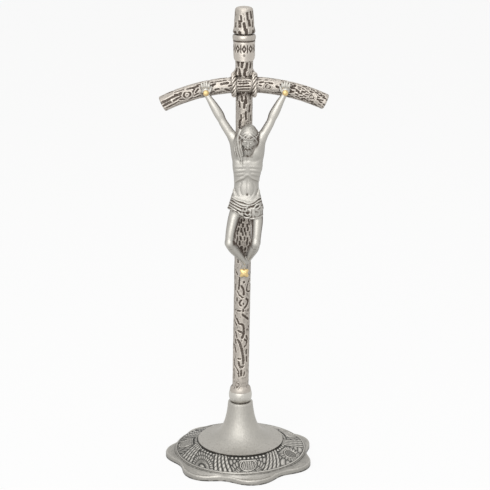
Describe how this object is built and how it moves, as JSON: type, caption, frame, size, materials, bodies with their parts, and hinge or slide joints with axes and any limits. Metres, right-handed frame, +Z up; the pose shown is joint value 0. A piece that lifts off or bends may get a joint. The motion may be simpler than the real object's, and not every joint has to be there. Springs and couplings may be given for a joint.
{
  "type": "standing altar crucifix",
  "caption": "Standing altar crucifix: bark-textured post and bowed crossbeam lashed with rope, cast corpus on nails, bell neck and scalloped foot with an ornament band.",
  "frame": {"origin": "on the table under the middle of the crossbeam's span, which is the centre of the footprint's bounding box; the foot's own axis is at X = -2.5 mm because the post is bent", "axes": "+Z up along the post, -Y towards the viewer (the corpus faces -Y), +X to the viewer's right"},
  "size_m": [0.117, 0.1073, 0.3298],
  "materials": {
    "satin_silver": "satin silver plate",
    "blackened_silver": "chased silver plate, blackened in the recesses",
    "bark_silver": "carved silver plate, brown in the recesses",
    "rope_silver": "twisted silver plate, aged",
    "scroll_silver": "satin silver plate",
    "corpus_silver": "antique silver plate",
    "gold": "polished gold plate",
    "steel": "zinc-plated steel"
  },
  "bodies": {
    "root": {"foot_plate": "satin_silver", "ornament_band": "blackened_silver", "bell_neck": "satin_silver", "knop": "satin_silver", "tie_rod": "steel", "washer": "steel", "hex_nut": "steel", "post": "bark_silver", "crossbeam": "bark_silver", "lap_dowel": "steel", "rope_lashing": "rope_silver", "title_scroll": "scroll_silver", "title_nail": "scroll_silver", "corpus": "corpus_silver", "nail_hand_left": "gold", "nail_hand_right": "gold", "nail_feet": "gold"}
  },
  "joints": []
}
